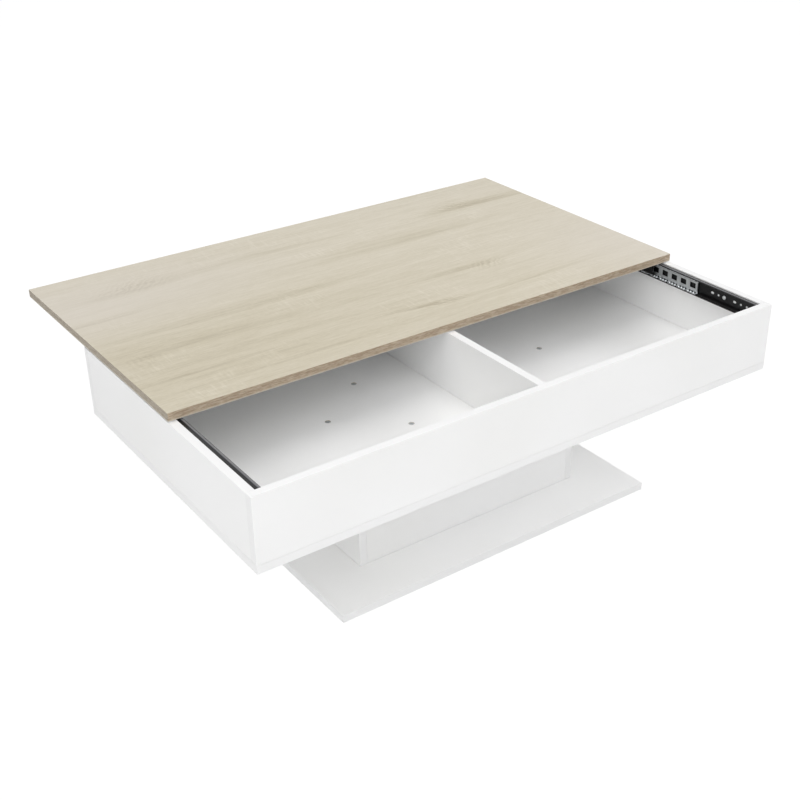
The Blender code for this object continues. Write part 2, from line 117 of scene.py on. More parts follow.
def add_node(tree, kind, inputs=None, tones=(), **settings):
    """Add one node: settings are its own properties, and tones are the places and colours of a ramp."""
    node = tree.nodes.new(kind)
    for name, value in settings.items():
        setattr(node, name, value)
    feed(tree, node, inputs or {})
    while tones and len(node.color_ramp.elements) < len(tones):
        node.color_ramp.elements.new(1.0)
    for number, (position, tone) in enumerate(tones):
        node.color_ramp.elements[number].position = position
        node.color_ramp.elements[number].color = linear(tone)
    return node


def new_finish(name):
    """An empty material: its tree, its shader and a socket with the piece's own coordinates."""
    material = bpy.data.materials.new(name)
    material.use_nodes = True
    tree = material.node_tree
    shader = tree.nodes["Principled BSDF"]
    place = add_node(tree, "ShaderNodeTexCoord").outputs["Object"]
    return material, tree, shader, place


def per_metre(millimetres):
    """Texture scale that repeats once in this many millimetres."""
    return 1000.0 / millimetres


def patches(tree, place, size, detail, roughness=0.5):
    """A noise whose patches measure this many millimetres in X, Y and Z."""
    stretch = add_node(tree, "ShaderNodeMapping", {"Vector": place, "Scale": [per_metre(mm) for mm in size]})
    noise = add_node(tree, "ShaderNodeTexNoise", {"Vector": stretch.outputs["Vector"], "Scale": 1.0,
                                                  "Detail": detail, "Roughness": roughness})
    return noise.outputs["Fac"]


print("mid grey 808080 in linear light:", round(linear("#808080")[0], 3))

# %% [markdown]
# The white boards are melamine faced chipboard: printed paper soaked in resin and pressed on a
# steel plate with a fine pearl texture. The eye sees a plain white, slightly uneven from board to
# board, whose soft sheen breaks up in the pearl. The real pearl is about 0.6 mm, too fine for the
# picture, so it is drawn at 2 mm. A bump gives the pearl because its height is only a hair.

# %% White melamine
PEARL = 2.0
CLOUD = 320.0

white_face, tree, shader, place = new_finish("white melamine, pearl pressed")
pearl = add_node(tree, "ShaderNodeTexNoise", {"Vector": place, "Scale": per_metre(PEARL), "Detail": 2.0})
cloud = add_node(tree, "ShaderNodeTexNoise", {"Vector": place, "Scale": per_metre(CLOUD), "Detail": 1.0})
tone = add_node(tree, "ShaderNodeValToRGB", {"Fac": cloud.outputs["Fac"]},
                tones=((0.35, "#F4F4F3"), (0.65, "#F8F8F8")))
sheen = add_node(tree, "ShaderNodeMapRange", {"Value": pearl.outputs["Fac"], "To Min": 0.36, "To Max": 0.5})
relief = add_node(tree, "ShaderNodeBump", {"Height": pearl.outputs["Fac"], "Strength": 0.06,
                                           "Distance": 0.05 * MM})
feed(tree, shader, {"Base Color": tone.outputs["Color"], "Roughness": sheen.outputs["Result"],
                    "Normal": relief.outputs["Normal"], "IOR": 1.5})
print("made", white_face.name)

# %% [markdown]
# Cut edges of the boards are covered with a white ABS strip, glued on hot and scraped flush. It is
# smoother than the pressed face and catches the light a little sooner. One noise serves every edge:
# it is stretched level, so it draws faint lines along the edges of lying boards and leaves the
# upward rims nearly even.

# %% White edge band
SCRAPE = (90.0, 90.0, 1.5)

white_band, tree, shader, place = new_finish("white ABS edge band, scraped")
scrape = patches(tree, place, SCRAPE, 2.0)
tone = add_node(tree, "ShaderNodeValToRGB", {"Fac": scrape}, tones=((0.0, "#F1F1F1"), (1.0, "#F5F5F5")))
sheen = add_node(tree, "ShaderNodeMapRange", {"Value": scrape, "To Min": 0.38, "To Max": 0.5})
feed(tree, shader, {"Base Color": tone.outputs["Color"], "Roughness": sheen.outputs["Result"]})
print("made", white_band.name)

# %% [markdown]
# Where a board is bored, its core shows: chipboard, which is flakes of softwood pressed in glue.
# The eye sees straw and brown flakes a few millimetres long. Voronoi cells make such flakes at
# once, each with a shade of its own.

# %% Chipboard core
FLAKE = 3.0

chipboard, tree, shader, place = new_finish("chipboard, pressed flakes")
flakes = add_node(tree, "ShaderNodeTexVoronoi", {"Vector": place, "Scale": per_metre(FLAKE)})
shade = add_node(tree, "ShaderNodeSeparateColor", {"Color": flakes.outputs["Color"]})
tone = add_node(tree, "ShaderNodeValToRGB", {"Fac": shade.outputs["Red"]},
                tones=((0.0, "#8E6F4B"), (1.0, "#C9AE86")))
relief = add_node(tree, "ShaderNodeBump", {"Height": flakes.outputs["Distance"], "Strength": 0.5,
                                           "Distance": 0.3 * MM})
feed(tree, shader, {"Base Color": tone.outputs["Color"], "Roughness": 0.85,
                    "Normal": relief.outputs["Normal"]})
print("made", chipboard.name)

# %% [markdown]
# The top is chipboard too, faced with paper printed as rough sawn pale oak, its grain along the
# table. From near the eye sees fine fibres and pores, from further off soft streaks. Both are noise
# stretched along the grain and deep into the board: each layer adds its share of darkness, and one
# ramp turns the sum into oak. Real grain wanders, so the place where a layer is looked up is first
# pushed a little sideways.

# %% Oak decor: grain
DEEP = 1000
WANDER = 12.0
WANDER_PATCH = (600, 140, DEEP)
LAYERS = {"streak": ((320, 16), 0.32), "fibre": ((45, 3.2), 0.34), "pore": ((8, 1.8), 0.3)}
top_low, top_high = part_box("table_top")

oak_face, tree, shader, place = new_finish("pale oak decor paper, rough sawn print")
drift = patches(tree, place, WANDER_PATCH, 1.0)
push = add_node(tree, "ShaderNodeMapRange", {"Value": drift, "To Min": -WANDER * MM, "To Max": WANDER * MM})
sideways = add_node(tree, "ShaderNodeCombineXYZ", {"Y": push.outputs["Result"]})
grain = add_node(tree, "ShaderNodeVectorMath", {0: place, 1: sideways.outputs["Vector"]},
                 operation="ADD").outputs["Vector"]
layers = {}
darkness = 0.0
for layer, (size, share) in LAYERS.items():
    layers[layer] = patches(tree, grain, (*size, DEEP), 3.0)
    darkness = add_node(tree, "ShaderNodeMath", {0: layers[layer], 1: share, 2: darkness},
                        operation="MULTIPLY_ADD").outputs["Value"]
print("grain layers:", ", ".join(layers))

# %% [markdown]
# Where a stave ends, or was cut near its heart, the print is darker. Over half the table, towards the
# front left, the oak is drawn darker and warmer, and towards the back left and the front right a cool
# grey is painted in, a painted reflection of the bright studio in the sheen. Bands, that warm patch
# and the painted reflections alike are patches with a middle in the table's frame and a reach. A
# Mapping node turns such a patch into a unit circle, and the distance from the middle fades it out.
# For a band the front half of the circle is pressed flat first, so that it ends sharply there, and
# the streaks thin it here and there, as in wood.

# %% Oak decor: bands and drifts
BANDS = {
    "back left": ((-370, 438), (260, 50), 0, 0.42),
    "back middle": ((-95, 450), (200, 40), 0, 0.3),
    "back right": ((450, 432), (260, 42), 0, 0.55),
    "second left": ((-490, 347), (220, 22), 0, 0.42),
    "second right": ((150, 341), (380, 60), 0, 0.42),
    "third left": ((-290, 240), (430, 42), -1, 0.42),
    "fourth left": ((-400, 168), (330, 40), 0, 0.3),
    "heart": ((170, 153), (150, 24), 0, 0.6),
    "front": ((0, 50), (120, 22), -8, 0.65),
    "front right": ((230, 34), (240, 18), 0, 0.36),
    "front left": ((-440, 62), (260, 18), 0, 0.36),
    "front line": ((-280, 6), (300, 14), 0, 0.3),
}
HONEY = ((-380, 60), (900, 500), 0.21)
# Painted reflections of the studio in the sheen, at the back left and the front right.
SHEEN_PATCHES = {"back": ((-500, 420), (560, 240), 0.5), "front": ((600, 40), (360, 380), 0.5)}
PRESSED = (0.0, 3.0, 0.0)
ROUND = (0.0, 0.0, 0.0)


def patch_of(middle, reach, slant, front_half, share):
    """A socket that fades from a share in the middle of a patch to nothing at its reach."""
    patch = add_node(tree, "ShaderNodeMapping", {
        "Vector": grain,
        "Location": (middle[0] * MM, middle[1] * MM, top_high.z),
        "Rotation": (0.0, 0.0, radians(slant)),
        "Scale": (reach[0] * MM, reach[1] * MM, 1.0),
    }, vector_type="TEXTURE").outputs["Vector"]
    front = add_node(tree, "ShaderNodeVectorMath", {0: patch, 1: (0.0, 0.0, 0.0)}, operation="MINIMUM")
    shape = add_node(tree, "ShaderNodeVectorMath", {0: front.outputs["Vector"], 1: front_half, 2: patch},
                     operation="MULTIPLY_ADD")
    away = add_node(tree, "ShaderNodeVectorMath", {0: shape.outputs["Vector"]}, operation="LENGTH")
    fade = add_node(tree, "ShaderNodeMapRange", {"Value": away.outputs["Value"], "From Min": 1.0,
                                                 "From Max": 0.0, "To Max": share},
                    interpolation_type="SMOOTHSTEP")
    return fade.outputs["Result"]


for middle, reach, slant, share in BANDS.values():
    band = patch_of(middle, reach, slant, PRESSED, share)
    darkness = add_node(tree, "ShaderNodeMath", {0: band, 1: layers["streak"], 2: darkness},
                        operation="MULTIPLY_ADD").outputs["Value"]
honey = patch_of(HONEY[0], HONEY[1], 0, ROUND, HONEY[2])
darkness = add_node(tree, "ShaderNodeMath", {0: darkness, 1: honey}, operation="ADD").outputs["Value"]
print("bands drawn:", ", ".join(BANDS))

# %% [markdown]
# Here and there a stave was cut across its rings, and the print shows them as a few short, slanted
# strokes. A Wave texture makes the strokes, turned by each figure's slant, and a patch like those
# above keeps them in their place. Its distortion bends them, because rings are never quite straight.

# %% Oak decor: figures
FIGURES = {
    "back right": ((370, 450), (110, 42), 63, 0.3),
    "back left": ((-385, 462), (120, 52), -45, 0.24),
    "heart": ((226, 150), (62, 32), -35, 0.24),
    "front": ((55, 46), (80, 24), 55, 0.22),
    "left": ((-505, 150), (50, 40), 5, 0.12),
}
RING_SPACING = 11.0
WAVE_PERIOD = 2 * pi / 20

for middle, reach, slant, share in FIGURES.values():
    slanted = add_node(tree, "ShaderNodeMapping", {"Vector": place, "Rotation": (0.0, 0.0, radians(slant))},
                       vector_type="TEXTURE")
    rings = add_node(tree, "ShaderNodeTexWave", {"Vector": slanted.outputs["Vector"],
                                                 "Scale": WAVE_PERIOD * per_metre(RING_SPACING),
                                                 "Distortion": 7.0, "Detail": 3.0, "Detail Scale": 2.0})
    figure = patch_of(middle, reach, 0, ROUND, share)
    darkness = add_node(tree, "ShaderNodeMath", {0: rings.outputs["Fac"], 1: figure, 2: darkness},
                        operation="MULTIPLY_ADD").outputs["Value"]
print("figures drawn:", ", ".join(FIGURES))

# %% [markdown]
# The saw that cut the staves left short strokes across the grain. They are the same stretched noise
# turned by a quarter, of which only the peaks are kept, and a second, large noise says where on the
# top they show. They are pale, so they take darkness away.

# %% Oak decor: saw strokes
SAW_STROKE = (4.5, 30, DEEP)
SAWN_PATCH = (170, 80, DEEP)

strokes = patches(tree, place, SAW_STROKE, 2.0)
sawn = patches(tree, place, SAWN_PATCH, 1.0)
stroke = add_node(tree, "ShaderNodeMapRange", {"Value": strokes, "From Min": 0.5, "From Max": 0.72})
here = add_node(tree, "ShaderNodeMapRange", {"Value": sawn, "From Min": 0.54, "From Max": 0.7,
                                             "To Max": -0.16})
darkness = add_node(tree, "ShaderNodeMath", {0: stroke.outputs["Result"], 1: here.outputs["Result"],
                                             2: darkness}, operation="MULTIPLY_ADD").outputs["Value"]
print("saw strokes", SAW_STROKE[0], "by", SAW_STROKE[1], "mm")

# %% [markdown]
# One ramp turns darkness into oak, from a pale cream to a greyish brown. The painted reflections,
# a pale cool grey at the back left and the front right, are mixed in after it, because they change
# the hue more than the lightness. The paper is pressed with a fine grain, so the same fibres that
# colour it also vary its sheen and its relief.

# %% Oak decor: colour and surface
OAK_TONES = ((0.1, "#E1DACB"), (0.42, "#D4CCBA"), (0.7, "#C5BCA6"), (1.0, "#ADA28A"))
# The pale cool grey of the painted reflections.
SHEEN_TONE = "#D7D0C7"

colour = add_node(tree, "ShaderNodeValToRGB", {"Fac": darkness}, tones=OAK_TONES).outputs["Color"]
# Painted reflection: each patch mixes the oak towards a pale cool grey.
for middle, reach, share in SHEEN_PATCHES.values():
    drift = patch_of(middle, reach, 0, ROUND, share)
    colour = add_node(tree, "ShaderNodeMix", {0: drift, 6: colour, 7: linear(SHEEN_TONE)},
                      data_type="RGBA").outputs[2]
sheen = add_node(tree, "ShaderNodeMapRange", {"Value": layers["fibre"], "To Min": 0.36, "To Max": 0.52})
relief = add_node(tree, "ShaderNodeBump", {"Height": layers["fibre"], "Strength": 0.12,
                                           "Distance": 0.08 * MM}, invert=True)
feed(tree, shader, {"Base Color": colour, "Roughness": sheen.outputs["Result"],
                    "Normal": relief.outputs["Normal"]})
print("made", oak_face.name)

# %% [markdown]
# The top's edges carry a printed strip in a browner oak than the face. Its grain runs along the
# edge, so the pattern is stretched along the table and across it and varies mostly up its height.
# Near its lower corner the strip is drawn paler, and the two short ends are drawn darker and cooler.

# %% Oak edge band
BAND_LINE = (14.0, 14.0, 1.6)
PALE_CORNER = 3.0
END_STRIP = 0.4

oak_band, tree, shader, place = new_finish("oak printed edge band")
lines = patches(tree, place, BAND_LINE, 4.0, 0.7)
tone = add_node(tree, "ShaderNodeValToRGB", {"Fac": lines}, tones=((0.4, "#96826C"), (0.6, "#BBAB95")))
height = add_node(tree, "ShaderNodeSeparateXYZ", {"Vector": place})
low_corner = add_node(tree, "ShaderNodeMapRange", {"Value": height.outputs["Z"], "From Min": top_low.z,
                      "From Max": top_low.z + PALE_CORNER * MM, "To Min": 0.95, "To Max": 0.0})
out = add_node(tree, "ShaderNodeMath", {0: height.outputs["X"]}, operation="ABSOLUTE")
short_end = add_node(tree, "ShaderNodeMapRange", {"Value": out.outputs["Value"],
                     "From Min": top_high.x - 2 * END_STRIP * MM, "From Max": top_high.x - END_STRIP * MM})
ends = add_node(tree, "ShaderNodeMix", {0: short_end.outputs["Result"], 6: tone.outputs["Color"],
                                        7: linear("#E7EFF4")}, data_type="RGBA", blend_type="MULTIPLY")
# The strip is drawn paler along its lower corner.
edge_tone_mix = add_node(tree, "ShaderNodeMix", {0: low_corner.outputs["Result"], 6: ends.outputs[2],
                                        7: linear("#CFC7B8")}, data_type="RGBA")
sheen = add_node(tree, "ShaderNodeMapRange", {"Value": lines, "To Min": 0.4, "To Max": 0.55})
feed(tree, shader, {"Base Color": edge_tone_mix.outputs[2], "Roughness": sheen.outputs["Result"]})
print("made", oak_band.name)

# %% [markdown]
# The slides are cold rolled steel with a thin black coat, dipped and baked. The coat is black with
# a clear sheen: what shows of it is mostly the white room in its curved flanges. A faint orange
# peel, drawn at 1.5 mm, keeps those reflections from looking like a mirror. Along the crest of the
# upper roll a grey is painted into the coat's colour: a painted highlight for the light that the
# curved crest catches, which is why height decides the mix there.

# %% Black coated steel
PEEL = 1.5
COAT_CLOUD = 40.0
# Height band, above the slide's middle, of the painted highlight on the upper roll's crest.
SHEEN_CREST = (16.5, 17.5)
slide_low, slide_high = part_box("right_slide_outer")
slide_level = (slide_low.z + slide_high.z) / 2

black_coat, tree, shader, place = new_finish("black coated steel, baked")
peel = add_node(tree, "ShaderNodeTexNoise", {"Vector": place, "Scale": per_metre(PEEL), "Detail": 1.0})
cloud = add_node(tree, "ShaderNodeTexNoise", {"Vector": place, "Scale": per_metre(COAT_CLOUD), "Detail": 3.0})
tone = add_node(tree, "ShaderNodeValToRGB", {"Fac": cloud.outputs["Fac"]},
                tones=((0.0, "#070708"), (1.0, "#0F0F10")))
sheen = add_node(tree, "ShaderNodeMapRange", {"Value": cloud.outputs["Fac"], "To Min": 0.24, "To Max": 0.36})
relief = add_node(tree, "ShaderNodeBump", {"Height": peel.outputs["Fac"], "Strength": 0.08,
                                           "Distance": 0.05 * MM})
height = add_node(tree, "ShaderNodeSeparateXYZ", {"Vector": place})
# Painted highlight: near the crest of the upper roll the colour is mixed towards a mid grey.
painted_sheen = add_node(tree, "ShaderNodeMapRange", {"Value": height.outputs["Z"],
                                               "From Min": slide_level + SHEEN_CREST[0] * MM,
                                               "From Max": slide_level + SHEEN_CREST[1] * MM},
                  interpolation_type="SMOOTHSTEP")
coat = add_node(tree, "ShaderNodeMix", {0: painted_sheen.outputs["Result"], 6: tone.outputs["Color"],
                                        7: linear("#727275")}, data_type="RGBA")
feed(tree, shader, {"Base Color": coat.outputs[2], "Roughness": sheen.outputs["Result"],
                    "Normal": relief.outputs["Normal"], "IOR": 1.36})
print("made", black_coat.name)

# %% [markdown]
# Cages and screws are steel with a bright zinc plating, put on in a bath. It is a metal, light
# grey with a cool cast, cloudy where the plating took unevenly. Metals keep the default IOR.

# %% Zinc plated steel
ZINC_CLOUD = 9.0

zinc_plate, tree, shader, place = new_finish("zinc plated steel")
cloud = add_node(tree, "ShaderNodeTexNoise", {"Vector": place, "Scale": per_metre(ZINC_CLOUD), "Detail": 4.0})
tone = add_node(tree, "ShaderNodeValToRGB", {"Fac": cloud.outputs["Fac"]},
                tones=((0.0, "#BEC1C3"), (1.0, "#D8DADB")))
sheen = add_node(tree, "ShaderNodeMapRange", {"Value": cloud.outputs["Fac"], "To Min": 0.42, "To Max": 0.56})
feed(tree, shader, {"Base Color": tone.outputs["Color"], "Roughness": sheen.outputs["Result"],
                    "Metallic": 1.0})
print("made", zinc_plate.name)

# %% [markdown]
# The balls are hardened chrome steel, ground and polished, so they mirror the room. A film of
# grease from the race blurs that a little, in smears about as large as a ball.

# %% Polished ball steel
SMEAR = 4.0

ball_steel, tree, shader, place = new_finish("chrome steel, polished")
grease = add_node(tree, "ShaderNodeTexNoise", {"Vector": place, "Scale": per_metre(SMEAR), "Detail": 2.0})
tone = add_node(tree, "ShaderNodeValToRGB", {"Fac": grease.outputs["Fac"]},
                tones=((0.0, "#B9BCBE"), (1.0, "#D3D6D8")))
sheen = add_node(tree, "ShaderNodeMapRange", {"Value": grease.outputs["Fac"], "To Min": 0.08, "To Max": 0.25})
feed(tree, shader, {"Base Color": tone.outputs["Color"], "Roughness": sheen.outputs["Result"],
                    "Metallic": 1.0})
print("made", ball_steel.name)

# %% [markdown]
# Every new piece ends the same way: its bmesh becomes a mesh at the origin, it gets its finishes,
# it is told which body it moves with, and the CAD nodes it stands for are hidden.


# %% From bmesh to finished piece
def finished(bm, name, finishes, body, slot, *nodes):
    """Make a bmesh into a piece that rides on a body and stands for CAD nodes."""
    mesh = bpy.data.meshes.new(name)
    bm.to_mesh(mesh)
    bm.free()
    for finish in finishes:
        mesh.materials.append(finish)
    piece = bpy.data.objects.new(name, mesh)
    scene.collection.objects.link(piece)
    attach(piece, body)
    if nodes:
        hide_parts(*nodes)
    return piece


def cut(piece, tool_bm, operation="DIFFERENCE"):
    """Cut a tool out of a piece, or join it on, and keep the result as the piece's own mesh."""
    tool_mesh = bpy.data.meshes.new("tool")
    tool_bm.to_mesh(tool_mesh)
    tool_bm.free()
    tool = bpy.data.objects.new("tool", tool_mesh)
    scene.collection.objects.link(tool)
    change = piece.modifiers.new("change", "BOOLEAN")
    change.operation = operation
    change.solver = "EXACT"
    change.object = tool
    keep_modifiers(piece)
    bpy.data.objects.remove(tool)
    bpy.data.meshes.remove(tool_mesh)


def keep_modifiers(piece):
    """Replace a piece's mesh by what its modifiers make of it."""
    old = piece.data
    graph = bpy.context.evaluated_depsgraph_get()
    piece.data = bpy.data.meshes.new_from_object(piece.evaluated_get(graph))
    piece.modifiers.clear()
    name = old.name
    bpy.data.meshes.remove(old)
    piece.data.name = name


print("helpers ready for", len(frame["nodes"]), "CAD nodes")

# %% [markdown]
# A board is a box whose corners were eased by hand with fine paper. A cube is stretched to the CAD
# node's box, its thin sides are marked as edge band, and a three step bevel of a fifth of a
# millimetre rounds every corner. Between two boards the roundings leave the fine, faint line of a
# real joint. Only the rounded faces are smoothed, so that a large flat one doesn't pick up the lean
# of the small rounding beside it.

# %% Boards
EASED = 0.2 * MM
EASE_STEPS = 3
FLAT = 0.999
UNDERSIDE = 2


def block_into(bm, middle, size):
    """Add a box of a size round a middle."""
    bmesh.ops.create_cube(bm, size=1.0, matrix=Matrix.Translation(middle) @ Matrix.Diagonal((*size, 1.0)))


def board_shape(node):
    """A board in a CAD node's box: material 0 on its two faces, material 1 round its edges."""
    low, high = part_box(node)
    size = high - low
    thin = size[:].index(min(size))
    bm = bmesh.new()
    block_into(bm, (low + high) / 2, size)
    for face in bm.faces:
        face.material_index = 0 if abs(face.normal[thin]) > 0.5 else 1
    bmesh.ops.bevel(bm, geom=bm.edges[:], offset=EASED, segments=EASE_STEPS, profile=0.5,
                    affect="EDGES", material=-1)
    for face in bm.faces:
        face.smooth = max(abs(part) for part in face.normal) < FLAT
    return bm


WHITE_BOARDS = ["base_board", "plinth_left", "plinth_right", "plinth_front", "plinth_back", "bottom_panel",
                "front_panel", "back_panel", "left_side", "right_side", "divider"]
boards = {}
for node in WHITE_BOARDS:
    boards[node] = finished(board_shape(node), f"white_{node}", [white_face, white_band, chipboard],
                            "carcass", "white_board", node)
for node in ("left_batten", "right_batten"):
    boards[node] = finished(board_shape(node), f"white_{node}", [white_face, white_band, chipboard],
                            "sliding_top", "white_board", node)
oak_top = finished(board_shape("table_top"), "oak_table_top", [oak_face, oak_band, white_face],
                   "sliding_top", "oak_decor_board", "table_top")
for face in oak_top.data.polygons:
    if face.normal.z < -FLAT:
        face.material_index = UNDERSIDE
print(len(boards), "white boards and the oak top, each", len(oak_top.data.polygons), "faces")

# %% [markdown]
# A ball slide is three strips of steel rolled into channels that nest in each other. The outer one
# is screwed to the wall, the inner one to the moving top, and balls roll in the grooves between
# them. A channel could be bent from a plate, but rolling it is simpler: its section is drawn once
# as a line of straights and arcs, mirrored, drawn out to its length and given the steel's
# thickness. Arcs come from spinning the last point of the line round the middle of the bend.

# %% Drawing a section
SIDES = {"left": -1, "right": 1}
WELD = 0.001 * MM
SHARP = radians(35)
DEAD_FLAT = 0.9995


def inner_face(word, side):
    """X of a side wall's face inside the box."""
    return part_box(f"{word}_side")[0 if side > 0 else 1].x


def line_to(bm, point, out, up):
    """Draw a straight from a point of a section: out is away from the wall, up from its middle."""
    end = bmesh.ops.extrude_vert_indiv(bm, verts=[point])["verts"][0]
    end.co = (out, 0.0, up)
    return end


def bend_round(bm, point, middle, degrees, steps):
    """Draw an arc from a point of a section, round a middle, anticlockwise where degrees are positive."""
    made = bmesh.ops.spin(bm, geom=[point], cent=(middle[0], 0.0, middle[1]), axis=(0.0, -1.0, 0.0),
                          angle=radians(degrees), steps=steps)
    return next(item for item in made["geom_last"] if isinstance(item, bmesh.types.BMVert))


def roll_out(bm, side, wall, front, level, length):
    """Mirror half a section, draw it out to a length and stand it against a side wall."""
    half = bm.verts[:] + bm.edges[:]
    bmesh.ops.mirror(bm, geom=half, axis="Z", merge_dist=WELD)
    bmesh.ops.remove_doubles(bm, verts=bm.verts[:], dist=WELD)
    drawn = bmesh.ops.extrude_edge_only(bm, edges=bm.edges[:])
    far = [item for item in drawn["geom"] if isinstance(item, bmesh.types.BMVert)]
    bmesh.ops.translate(bm, vec=(0.0, length, 0.0), verts=far)
    stand = Matrix.Translation((wall, front, level)) @ Matrix.Diagonal((-side, 1.0, 1.0, 1.0))
    bmesh.ops.transform(bm, matrix=stand, verts=bm.verts[:])
    bmesh.ops.recalc_face_normals(bm, faces=bm.faces[:])


def give_thickness(piece, thickness):
    """Thicken a sheet evenly to both sides and keep the result."""
    wall = piece.modifiers.new("thickness", "SOLIDIFY")
    wall.thickness = thickness
    wall.offset = 0.0
    wall.use_even_offset = True
    wall.use_quality_normals = True
    keep_modifiers(piece)


def smooth_rounds(piece):
    """Smooth the rounded faces of a piece and leave its flats and sharp corners."""
    piece.data.shade_smooth()
    piece.data.set_sharp_from_angle(angle=SHARP)
    for face in piece.data.polygons:
        if max(abs(part) for part in face.normal) > DEAD_FLAT:
            face.use_smooth = False


print("section tools ready")

# %% [markdown]
# The outer member is a C: a web against the wall, a shelf at the top and bottom, and a groove
# rolled round the balls that ends in a short lip. Its web is punched in groups of a round hole, a
# small one and a slot, through which the white wall shows, and a tab bent in at each end stops
# the cage and the inner member. The strip was coated before it was punched, so the walls of the
# holes are bare bright steel: the punch carries the second finish and leaves it behind.

# %% Outer slide members
STEEL = 1.2 * MM
WALL_GAP = 0.3 * MM
BALL = 5.0 * MM
BALL_PLACE = (8.4 * MM, 13.55 * MM)
GROOVE = 3.35 * MM
GROOVE_STEPS = 16
OUTER_GROOVE_FROM = 30
OUTER_GROOVE_SWEEP = 115
BEND = 1.6 * MM
BEND_STEPS = 6
LIP = 0.3 * MM
SHELF = 15.6 * MM
HOLE_FRONT = 28.5 * MM
HOLE_GROUPS = ((0.0, 1), (56 * MM, 1), (271.5 * MM, 1), (493 * MM, -1))
ROUND_HOLE = 4.6 * MM
HOLES = ((0.0, ROUND_HOLE, ROUND_HOLE), (14.5 * MM, 4.4 * MM, 4.4 * MM), (30 * MM, 4.8 * MM, 7.4 * MM))
HOLE_STEPS = 32
BARE = 1
STOP_HEIGHT = 10 * MM


def punch_into(bm, place, width, length):
    """Add a punch through a web: a round one, or a round ended one that is longer in Y than wide."""
    made = bmesh.ops.create_cone(bm, cap_ends=True, segments=HOLE_STEPS, radius1=width / 2,
                                 radius2=width / 2, depth=4 * STEEL,
                                 matrix=Matrix.Translation(place) @ Matrix.Rotation(pi / 2, 4, "Y"))
    for vert in made["verts"]:
        vert.co.y += (length - width) / 2 if vert.co.y > place[1] else (width - length) / 2
    for face in bm.faces:
        face.material_index = BARE


def tab_into(bm, corner, far_corner):
    """Add a small box between two corners, such as a bent tab."""
    low = Vector([min(pair) for pair in zip(corner, far_corner)])
    size = Vector([abs(b - a) for a, b in zip(corner, far_corner)])
    block_into(bm, low + size / 2, size)


for word, side in SIDES.items():
    node = f"{word}_slide_outer"
    low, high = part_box(node)
    wall = inner_face(word, side)
    level = (low.z + high.z) / 2
    bm = bmesh.new()
    turn = Matrix.Rotation(radians(OUTER_GROOVE_FROM), 2)
    start = Vector(BALL_PLACE) + turn @ Vector((GROOVE, 0.0))
    tip = start + turn @ Vector((0.0, -LIP))
    point = bm.verts.new((tip.x, 0.0, tip.y))
    point = line_to(bm, point, *start)
    point = bend_round(bm, point, BALL_PLACE, OUTER_GROOVE_SWEEP, GROOVE_STEPS)
    web = WALL_GAP + STEEL / 2
    point = line_to(bm, point, web + BEND, SHELF)
    point = bend_round(bm, point, (web + BEND, SHELF - BEND), 90, BEND_STEPS)
    line_to(bm, point, web, 0.0)
    roll_out(bm, side, wall, low.y, level, high.y - low.y)
    outer = finished(bm, f"black_{node}", [black_coat, zinc_plate], "carcass", "black_steel", node)
    give_thickness(outer, STEEL)
    tabs = bmesh.new()
    face = wall - side * web
    reach = low.x if side > 0 else high.x
    for end in (low.y, high.y - STEEL):
        tab_into(tabs, (face, end, level - STOP_HEIGHT / 2), (reach, end + STEEL, level + STOP_HEIGHT / 2))
    cut(outer, tabs, "UNION")
    punches = bmesh.new()
    for group, way in HOLE_GROUPS:
        for step, width, length in HOLES:
            punch_into(punches, (face, low.y + HOLE_FRONT + group + way * step, level), width, length)
    cut(outer, punches)
    smooth_rounds(outer)
    print(outer.name, len(outer.data.polygons), "faces")

# %% [markdown]
# The inner member is the mirror of the outer one: its grooves open outwards to the same balls, and
# its web is screwed flat to the batten under the top.

# %% Inner slide members
INNER_LIP = 0.7 * MM
INNER_WEB = 12.1 * MM
INNER_GROOVE_FROM = -125
INNER_GROOVE_SWEEP = 70
TOP_SCREWS = (1, 2)

for word, side in SIDES.items():
    node = f"{word}_slide_inner"
    low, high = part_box(node)
    wall = inner_face(word, side)
    level = (low.z + high.z) / 2
    bm = bmesh.new()
    start = Vector(BALL_PLACE) + Matrix.Rotation(radians(INNER_GROOVE_FROM), 2) @ Vector((GROOVE, 0.0))
    point = bm.verts.new((start.x - INNER_LIP, 0.0, start.y))
    point = line_to(bm, point, *start)
    point = bend_round(bm, point, BALL_PLACE, INNER_GROOVE_SWEEP, GROOVE_STEPS)
    shoulder = point.co.z
    point = line_to(bm, point, INNER_WEB - BEND, shoulder)
    point = bend_round(bm, point, (INNER_WEB - BEND, shoulder - BEND), -90, BEND_STEPS)
    line_to(bm, point, INNER_WEB, 0.0)
    roll_out(bm, side, wall, low.y, level, high.y - low.y)
    inner = finished(bm, f"black_{node}", [black_coat, zinc_plate], "sliding_top", "black_steel", node)
    give_thickness(inner, STEEL)
    punches = bmesh.new()
    for number in TOP_SCREWS:
        screw_low, screw_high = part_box(f"{word}_inner_screw_{number}")
        station = (screw_low.y + screw_high.y) / 2
        punch_into(punches, (wall - side * INNER_WEB, station, level), ROUND_HOLE, ROUND_HOLE)
    cut(inner, punches)
    smooth_rounds(inner)
    print(inner.name, len(inner.data.polygons), "faces")

# %% [markdown]
# Between the two runs the cage, a thin strip with a window every 25 mm. It holds three balls
# at each window along both of its edges, which are notched between the groups, and its ends are
# bent in so that they meet the stops squarely. The balls are polished spheres set in the strip.

# %% Ball cages
CAGE_STEEL = 0.6 * MM
CAGE_WEB = 4.0 * MM
CAGE_BEND = 0.8 * MM
CAGE_EDGE = 11.7 * MM
CAGE_END = 6.5 * MM
WINDOW = (14.5 * MM, 11.0 * MM)
WINDOW_PITCH = 25.0 * MM
WINDOWS = 9
WINDOW_CORNER = 0.8 * MM
CORNER_STEPS = 3
NOTCH = (3.6 * MM, 4.2 * MM)
END_TAB = (2.2 * MM, 18 * MM)
BALL_STEPS = (-7.2 * MM, 0.0, 7.2 * MM)
BALL_FACETS = (20, 12)
POCKET = (3.4 * MM, 11.05 * MM, 5.4 * MM, 1.6 * MM)


